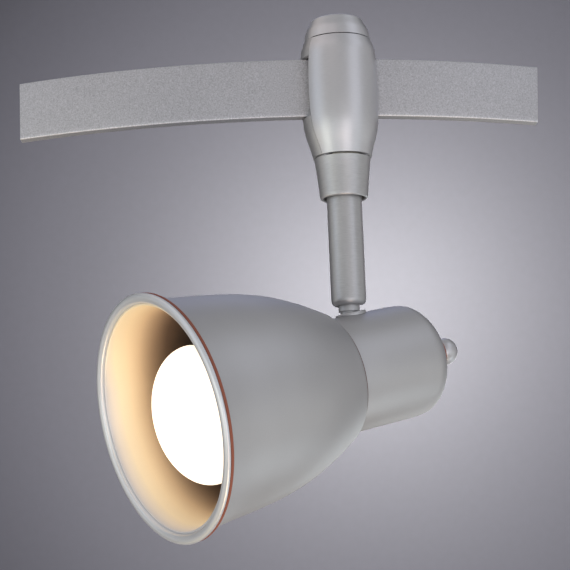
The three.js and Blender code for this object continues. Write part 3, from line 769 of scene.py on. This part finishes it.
RIM_INNER = 40.0
RIM_R = 43.3
rim_bead = [
    (RIM_INNER, -0.1), *arc((41.0, -0.2), (1.0, 0.82), 180, 262, 8),
    (41.0, -0.96), *arc((41.75, -0.2), (1.55, 0.98), 240, 360, 14),
    (RIM_R, -0.1), (RIM_R - 0.15, 0.3), (RIM_INNER + 0.05, 0.3), (RIM_INNER + 0.05, 1.8),
    (RIM_INNER - 0.25, 1.8), (RIM_INNER - 0.25, 0.15), (RIM_INNER - 0.12, 0.02),
]
rim = lathe("rolled_rim", rim_bead, AXIAL, 224)
finished(rim, "head", painted_light_bead_silver, "satin_silver", "rim_ring", sharp=28)
gasket = rounded([(40.2, 0.5), (43.2, 0.5, 0.3), (43.2, 1.6, 0.3), (40.2, 1.6)], 4)
finished(lathe("rim_seal", gasket, AXIAL, 224), "head", red_fibre, "red_fibre", "rim_gasket")
# The seam gasket uses the darker fibre, which is painted shade in the seam.
seam = rounded([(18.2, 70.55), (23.5, 70.55, 0.15), (23.5, 71.0, 0.15), (18.2, 71.0)], 3)
finished(lathe("seam_seal", seam, AXIAL, 160), "head", seam_shade_fibre, "red_fibre", "seam_gasket")

HOUSING_FRONT = 71.3
HOUSING_SHEET = 1.4
HOUSING_END = 120.3
dome = smooth_line([
    (HOUSING_R, 103), (20.6, 108.3), (18.4, 111.7), (14.4, 114.9), (9.3, 118.1), (4.6, HOUSING_END),
], 7)
dome_inside = [(r * (1 - HOUSING_SHEET / HOUSING_R), s - HOUSING_SHEET) for r, s in reversed(dome)]
housing_outline = [
    (HOUSING_R - HOUSING_SHEET, HOUSING_FRONT), (HOUSING_R - 0.4, HOUSING_FRONT),
    *arc((HOUSING_R - 0.4, HOUSING_FRONT + 0.4), (0.4, 0.4), -75, 0, 4),
    (HOUSING_R, 85), *dome, (2.3, HOUSING_END), (2.3, HOUSING_END - HOUSING_SHEET), *dome_inside,
    (HOUSING_R - HOUSING_SHEET, 85),
]
housing = cut(
    lathe("rear_housing", housing_outline, AXIAL, 160),
    bar("stud_bore", 3.7, (0, 0, -13), UPWARDS, 10, NECK, 48),
)
finished(housing, "head", satin_silver, "satin_silver", "housing")

FINIAL_R = 5.2
FINIAL_CENTRE = 125.9
BOLT_BORE = 2.3
finial_outline = [
    (BOLT_BORE, 121.7), (3.6, 121.7), (3.6, 122.1),
    *arc((0, FINIAL_CENTRE), (FINIAL_R, FINIAL_R), -44, 90, 22), (0, 127.3), (BOLT_BORE, 127.3),
]
finished(lathe("end_ball_nut", finial_outline, AXIAL, 96), "head", painted_light_silver, "satin_silver", "finial")
red_ring = rounded([(BOLT_BORE, 120.6), (7.3, 120.6, 0.3), (7.3, 121.4, 0.3), (BOLT_BORE, 121.4)], 4)
finished(lathe("end_washer", red_ring, AXIAL, 96), "head", red_fibre, "red_fibre", "finial_washer")

# ---------------------------------------------------------------- lamp
LAMP_R = 24.4
LAMP_EDGE = 16.0
LAMP_FRONT = 2.3
LAMP_NECK = 57.0
MIRROR_START = 19.0
GLASS_SHARE = 0.955
SCREW_ROOT = 6.9
SCREW_LOW = 60.8
SCREW_HIGH = 81.6
THREAD_PITCH = 2.82
THREAD_DEPTH = 0.45
THREAD_FADE = 1.2


def thread_wave(angle, z):
    """How far a round thread has come in, from 0 on its crest to 1 in its groove."""
    return 0.5 - 0.5 * math.cos(2 * math.pi * (z / THREAD_PITCH - angle / (2 * math.pi)))


def cap_thread(angle, r, z):
    """The lamp cap's thread, which fades out at both ends."""
    if not SCREW_LOW < z < SCREW_HIGH or r < SCREW_ROOT - THREAD_DEPTH - 0.3:
        return r
    fade = min(1.0, (z - SCREW_LOW) / THREAD_FADE, (SCREW_HIGH - z) / THREAD_FADE)
    return r - THREAD_DEPTH * thread_wave(angle, z) * fade


def lamp_bulb():
    """The lamp's glass: a domed face, a cone behind it, and the same line again for the inside."""
    face = arc((0, LAMP_EDGE), (LAMP_R, LAMP_EDGE - LAMP_FRONT), -90, 0, 30)
    face[0] = (0, LAMP_FRONT)
    cone = smooth_line([(LAMP_R, LAMP_EDGE), (22.6, 24), (15.2, 38.5), (9.2, 49.5), (7.4, LAMP_NECK)], 8)
    outer = [*face, *cone[1:]]
    inner = [(r * GLASS_SHARE, LAMP_EDGE + (s - LAMP_EDGE) * GLASS_SHARE) for r, s in reversed(outer)]
    inner[0] = (6.7, LAMP_NECK)
    inner[-1] = (0, inner[-1][1])
    return lathe("lamp_bulb", [*outer, *inner], LAMP, 128)


def mirrored(bulb):
    """Silvers the back of the glass, which is frosted in front."""
    bulb.data.materials.append(lamp_mirror)
    to_lamp = (Matrix.Scale(MM, 4) @ LAMP).inverted()
    for polygon in bulb.data.polygons:
        if (to_lamp @ polygon.center).z > MIRROR_START:
            polygon.material_index = 1


mirrored(finished(lamp_bulb(), "bulb", lamp_glass, "lamp_glass", "bulb_glass"))
thread_rows = [(SCREW_ROOT, 60.6 + 0.2 * k) for k in range(106)]
cap_metal = [
    (6.2, 57.3), (7.45, 57.3), (7.6, 57.45), (7.6, 59.6), (7.2, 60.2), *thread_rows,
    (6.6, 82.3), (5.2, 83.6), (4.4, 83.6), (6.1, 81.6),
]
screw_cap = lathe("lamp_screw_cap", cap_metal, LAMP, 72, cap_thread)
finished(screw_cap, "bulb", brass, "brass", "bulb_cap")
insulator = rounded([(0, 83.9), (4.8, 83.9, 0.3), (2.9, 86, 0.2), (0, 86)], 3)
finished(lathe("lamp_insulator", insulator, LAMP, 64), "bulb", black_glass, "black_glass", "bulb_insulator")
tip = [(0, 86.3), (2.2, 86.3), (2.3, 86.4), *arc((0, 86.4), (2.3, 1.2), 0, 90, 10)[1:]]
finished(lathe("lamp_tip", tip, LAMP, 48), "bulb", steel, "steel", "bulb_tip")

# ---------------------------------------------------------------- lamp holder
SOCKET_R = 7.35
SOCKET_SHEET = 0.6
RING_R = 17.6
KNURLS = 36
KNURL_DEPTH = 0.18


def socket_thread(angle, r, z):
    """The thread pressed outwards into the inner face of the screw shell."""
    inside = r < SOCKET_R + SOCKET_SHEET / 4
    return r + (0.35 * thread_wave(angle, z) if inside and 68.6 < z < 85.8 else 0)


def knurled(angle, r, z):
    """Grip ribs round the middle of the holder's ring."""
    outside = r > RING_R - 0.4 and 66.1 < z < 68.2
    return r - (KNURL_DEPTH * (0.5 - 0.5 * math.cos(KNURLS * angle)) if outside else 0)


socket_rows = [(SOCKET_R, 86.0 - 0.3 * k) for k in range(58)]
socket_skin = [
    (SOCKET_R, 86.5), (SOCKET_R, 86.2), *socket_rows, (SOCKET_R, 68.2), (SOCKET_R + SOCKET_SHEET, 68.2),
    (SOCKET_R + SOCKET_SHEET, 86.5),
]
socket_shell = lathe("holder_screw_shell", socket_skin, LAMP, 72, socket_thread)
finished(socket_shell, "head", brass, "brass", "socket_shell")
holder_outline = rounded([
    (8.4, 67.0, 0.3), (13, 67.0, 0.5), (13, 71.1), (16.5, 71.1, 0.3), (16.5, 73.4, 0.3), (13, 73.4),
    (13, 97.0, 0.8), (0, 97.0), (0, 89.4), (8.4, 89.4),
], 4)
holder = cut(
    lathe("lamp_holder", holder_outline, LAMP, 96),
    *[bar("bore", 1.4, (0, y, 93), UPWARDS, 6, LAMP, 32) for y in (-7, 7)],
    *[bar("bore", 1.3, (-8.4, y, 94), UPWARDS, 6, LAMP, 32) for y in (-5, 5)],
)
finished(holder, "head", white_plastic, "white_plastic", "socket_body")
ring_rows = [(RING_R, 66.2 + 0.2 * k) for k in range(10)]
ring_outline = [
    (13.3, 65.6), (17.3, 65.6), (17.55, 65.85), *ring_rows, (17.55, 68.45), (17.3, 68.7), (13.3, 68.7),
]
holder_ring = lathe("holder_ring", ring_outline, LAMP, 288, knurled)
finished(holder_ring, "head", white_plastic, "white_plastic", "shade_ring")

# ---------------------------------------------------------------- CAD nodes that keep their own shape
KEPT = {
    "contact_carrier": white_plastic,
    "contact_upper": brass,
    "contact_lower": brass,
    "terminal_screw_upper": steel,
    "terminal_screw_lower": steel,
    "stem_keeper_ring": steel,
    "pan_stop_pin": steel,
    "cap_stud": steel,
    "feed_wire_live": brown_wire,
    "feed_wire_neutral": blue_wire,
    "ball_seat": nylon,
    "clamp_sleeve": steel,
    "stem_wire_live": brown_wire,
    "stem_wire_neutral": blue_wire,
    "stud_wedge_washer": steel,
    "stud_nut": brass,
    "head_wire_live": brown_wire,
    "head_wire_neutral": blue_wire,
    "socket_bracket": steel,
    "head_bolt": steel,
    "bolt_nut": steel,
    "socket_contact": brass,
    "socket_terminal_left": brass,
    "socket_terminal_right": brass,
    "bracket_screw_left": steel,
    "bracket_screw_right": steel,
}
for name, material in KEPT.items():
    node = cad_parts[name]
    node.data.materials.clear()
    node.data.materials.append(material)

# ---------------------------------------------------------------- camera, in metres from here on
CAMERA_PLACE = Vector((-0.01335, -0.58221, -0.1814))
CAMERA_RIGHT = Vector((0.99921, -0.01452, -0.0380))
CAMERA_UP = Vector((0.03518, -0.16332, 0.9860))
SENSOR = 36.0
FOCAL = 101.05
camera_data = bpy.data.cameras.new("camera")
camera_data.sensor_width = SENSOR
camera_data.lens = FOCAL
camera_data.clip_start = 0.05
camera_data.clip_end = 50.0
camera = bpy.data.objects.new("camera", camera_data)
bpy.context.scene.collection.objects.link(camera)
right = CAMERA_RIGHT.normalized()
backwards = right.cross(CAMERA_UP).normalized()
up = backwards.cross(right)
turn = Matrix((right, up, backwards)).transposed().to_4x4()
camera.matrix_world = Matrix.Translation(CAMERA_PLACE) @ turn
bpy.context.scene.camera = camera

# ---------------------------------------------------------------- studio
WALL_Y = 2.6
WALL_TOP = 3.2
FLOOR_Z = -1.9
FLOOR_FRONT = -4.0
BACKDROP_HALF = 4.5
BEND_R = 0.8
HALO_CENTRE = (0.25, WALL_Y, 0.30)
GLOW_X = 0.22
GLOW_Z = 0.29
GLOW_GAP = 0.45
PANEL_SIDE = 0.8
HEAD_POINT = (-0.02, -0.01, -0.10)


def backdrop_paper():
    """Pale paper, darker on the wall, with painted shade making it darker still away from the bright patch
    behind the object.
    """
    g = Graph("pale_backdrop")
    height = g.span(g.measured("DOT_PRODUCT", UPWARDS), 0.0, 1.0, -1.5, -0.4)
    tone = g.ramp(height, [(0.0, (0.62, 0.62, 0.66)), (1.0, (0.178, 0.177, 0.229))])
    # Painted shade: the wall is darker the further it is from the bright patch.
    away = g.span(g.measured("DISTANCE", HALO_CENTRE), 0.0, 1.0, 0.7, 1.1)
    painted_falloff = g.ramp(away, [(0.0, grey(1.0)), (0.2, grey(0.95)), (0.57, grey(0.80)), (0.8, grey(0.64))])
    graded = g.blend(g.multiply(tone, painted_falloff), tone, g.span(height, 1.0, 0.0, 0.2, 0.9))
    flecks = g.ramp(g.noise(60.0), [(0.3, grey(0.97)), (0.7, grey(1.0))])
    g.feed("Base Color", g.multiply(graded, flecks))
    g.shader.inputs["Roughness"].default_value = 0.9
    return g.material


def sweep_backdrop():
    """A pale floor that curves up into a wall behind the object."""
    profile = [
        (FLOOR_FRONT, FLOOR_Z),
        *arc((WALL_Y - BEND_R, FLOOR_Z + BEND_R), (BEND_R, BEND_R), -90, 0, 16),
        (WALL_Y, WALL_TOP),
    ]
    bm = bmesh.new()
    left, right = [[bm.verts.new((x, y, z)) for y, z in profile] for x in (-BACKDROP_HALF, BACKDROP_HALF)]
    for i in range(len(profile) - 1):
        bm.faces.new((left[i], left[i + 1], right[i + 1], right[i]))
    mesh = bpy.data.meshes.new("backdrop")
    bm.to_mesh(mesh)
    bm.free()
    mesh.polygons.foreach_set("use_smooth", [True] * len(mesh.polygons))
    mesh.materials.append(backdrop_paper())
    obj = bpy.data.objects.new("backdrop", mesh)
    bpy.context.scene.collection.objects.link(obj)


def light(name, kind, place, target, watts, color):
    """A light that the camera doesn't see, turned towards a target."""
    data = bpy.data.lights.new(name, kind)
    data.energy = watts
    data.color = color
    obj = bpy.data.objects.new(name, data)
    obj.location = place
    obj.rotation_euler = (Vector(target) - Vector(place)).to_track_quat("-Z", "Y").to_euler()
    obj.visible_camera = False
    bpy.context.scene.collection.objects.link(obj)
    return data


def studio_world():
    """Even grey light from all round, with a trace less blue from below."""
    world = bpy.data.worlds.new("studio")
    world.use_nodes = True
    nodes, link = world.node_tree.nodes, world.node_tree.links.new
    split = nodes.new("ShaderNodeSeparateXYZ")
    height = nodes.new("ShaderNodeMapRange")
    height.inputs["From Min"].default_value = -1.0
    height.inputs["From Max"].default_value = 1.0
    tone = nodes.new("ShaderNodeValToRGB")
    tone.color_ramp.elements[0].color = (0.405, 0.405, 0.40, 1)
    tone.color_ramp.elements[1].color = (0.405, 0.405, 0.405, 1)
    link(nodes.new("ShaderNodeTexCoord").outputs["Generated"], split.inputs["Vector"])
    link(split.outputs["Z"], height.inputs["Value"])
    link(height.outputs["Result"], tone.inputs["Fac"])
    link(tone.outputs["Color"], nodes["Background"].inputs["Color"])
    nodes["Background"].inputs["Strength"].default_value = 1.0
    return world


# Large soft panels about the object: name, place, watts, colour.
PANELS = (
    ("low_front", (0.43, -1.39, -0.49), 2.9, (0.99, 0.97, 1.0)),
    ("low_front_left", (-0.47, -1.39, -0.49), 1.35, (0.88, 0.98, 1.0)),
    ("low_left", (-1.19, -0.86, -0.49), 3.35, (0.96, 1.0, 0.90)),
    ("low_right", (1.15, -0.86, -0.49), 1.15, (0.85, 0.95, 1.0)),
    ("left", (-1.47, -0.01, -0.49), 1.25, (1.0, 0.92, 0.76)),
    ("right", (1.43, -0.01, -0.49), 0.6, (0.98, 1.0, 0.95)),
    ("low_back", (0.70, 1.25, -0.49), 2.0, (0.93, 1.0, 1.0)),
    ("under_front", (-0.02, -1.07, -1.16), 4.0, (1.0, 0.76, 0.64)),
    ("under_right", (1.02, 0.17, -1.16), 2.1, (0.88, 0.98, 1.0)),
    ("under_left", (-0.98, 0.44, -1.16), 1.4, (1.0, 0.84, 0.50)),
    ("from_below", (-0.02, -0.40, -1.55), 7.6, (1.0, 0.80, 0.50)),
    ("front_right", (1.00, -1.03, 0.29), 1.25, (0.85, 0.88, 1.0)),
    ("back_right", (1.15, 0.84, 0.29), 0.3, (1.0, 0.90, 0.90)),
    ("front_left", (-1.40, -0.46, 0.29), 1.05, (0.66, 0.80, 1.0)),
    ("high_right", (0.96, -0.42, 0.96), 1.2, (0.85, 0.88, 1.0)),
    ("high_back", (-0.02, 1.05, 0.96), 1.2, (0.60, 0.66, 1.0)),
    ("high_back_left", (-1.00, 0.40, 0.96), 0.6, (1.0, 0.80, 0.68)),
    ("high_left", (-1.00, -0.41, 0.96), 1.0, (1.0, 0.86, 0.84)),
    ("high_front", (-0.43, -0.99, 0.96), 0.7, (1.0, 0.84, 0.84)),
)

sweep_backdrop()
for name, place, watts, color in PANELS:
    light(name, "AREA", place, HEAD_POINT, watts, color).size = PANEL_SIDE
glow = light(
    "wall_glow", "SPOT", (GLOW_X, WALL_Y - GLOW_GAP, GLOW_Z), (GLOW_X, WALL_Y, GLOW_Z),
    24.5, (1.0, 0.99, 0.83),
)
glow.spot_size = math.radians(170)
glow.spot_blend = 0.3
glow.shadow_soft_size = 0.1
bpy.context.scene.world = studio_world()
bpy.context.scene.view_settings.view_transform = "Standard"
